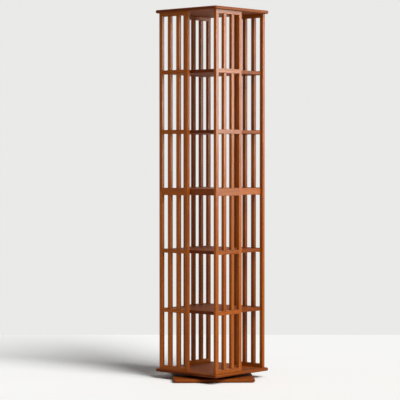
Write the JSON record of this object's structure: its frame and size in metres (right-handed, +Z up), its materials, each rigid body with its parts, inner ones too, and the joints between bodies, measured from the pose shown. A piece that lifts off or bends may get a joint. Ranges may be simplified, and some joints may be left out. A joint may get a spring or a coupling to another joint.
{
  "type": "revolving bookcase",
  "caption": "Tall square wooden bookcase with slatted pinwheel side panels, open bays and a ring bearing that lets it turn on a square base plate.",
  "frame": {"origin": "on the floor under the turning axis, at the bottom centre of the base plate's foot pads", "axes": "+Z up along the turning axis, X and Y square to the tower's sides; the base plate is turned 45 degrees about Z at rest"},
  "size_m": [0.55, 0.55, 1.8155],
  "materials": {
    "board_wood": "reddish-brown stain under satin lacquer",
    "slat_wood": "reddish-brown stain under satin lacquer",
    "base_wood": "reddish-brown stain under satin lacquer",
    "dowel_wood": "plain turned beech",
    "black_steel": "black baked enamel",
    "bright_steel": "zinc plated",
    "pad_rubber": "matt"
  },
  "bodies": {
    "base": {"base_plate": "base_wood", "foot_pad_1": "pad_rubber", "foot_pad_2": "pad_rubber", "foot_pad_3": "pad_rubber", "foot_pad_4": "pad_rubber", "swivel_outer_ring": "black_steel", "base_ring_screw_1": "bright_steel", "base_ring_screw_2": "bright_steel", "base_ring_screw_3": "bright_steel", "base_ring_screw_4": "bright_steel"},
    "ball_cage": {"swivel_ball_cage": "bright_steel"},
    "tower": {"swivel_inner_ring": "black_steel", "tower_ring_screw_1": "bright_steel", "tower_ring_screw_2": "bright_steel", "tower_ring_screw_3": "bright_steel", "tower_ring_screw_4": "bright_steel", "bottom_board": "board_wood", "top_board": "board_wood", "lower_shelf_1": "board_wood", "lower_shelf_2": "board_wood", "upper_shelf_1": "board_wood", "upper_shelf_2": "board_wood", "lower_middle_board": "board_wood", "upper_middle_board": "board_wood", "connector_bolt_1": "bright_steel", "connector_bolt_2": "bright_steel", "connector_bolt_3": "bright_steel", "connector_bolt_4": "bright_steel", "connector_nut_1": "bright_steel", "connector_nut_2": "bright_steel", "connector_nut_3": "bright_steel", "connector_nut_4": "bright_steel", "lower_front_panel": "slat_wood", "lower_right_panel": "slat_wood", "lower_back_panel": "slat_wood", "lower_left_panel": "slat_wood", "upper_front_panel": "slat_wood", "upper_right_panel": "slat_wood", "upper_back_panel": "slat_wood", "upper_left_panel": "slat_wood", "bottom_dowel_1": "dowel_wood", "bottom_dowel_2": "dowel_wood", "bottom_dowel_3": "dowel_wood", "bottom_dowel_4": "dowel_wood", "bottom_dowel_5": "dowel_wood", "bottom_dowel_6": "dowel_wood", "bottom_dowel_7": "dowel_wood", "bottom_dowel_8": "dowel_wood", "top_dowel_1": "dowel_wood", "top_dowel_2": "dowel_wood", "top_dowel_3": "dowel_wood", "top_dowel_4": "dowel_wood", "top_dowel_5": "dowel_wood", "top_dowel_6": "dowel_wood", "top_dowel_7": "dowel_wood", "top_dowel_8": "dowel_wood"}
  },
  "joints": [
    {"name": "tower_spin", "type": "hinge", "parent": "base", "child": "tower", "pos_m": [0, 0, 0.026], "axis": [0, 0, 1], "continuous": true},
    {"name": "ball_cage_spin", "type": "hinge", "parent": "base", "child": "ball_cage", "pos_m": [0, 0, 0.026], "axis": [0, 0, 1], "continuous": true}
  ],
  "couplings": [
    {"joint": "ball_cage_spin", "follows": "tower_spin", "ratio": 0.5}
  ]
}
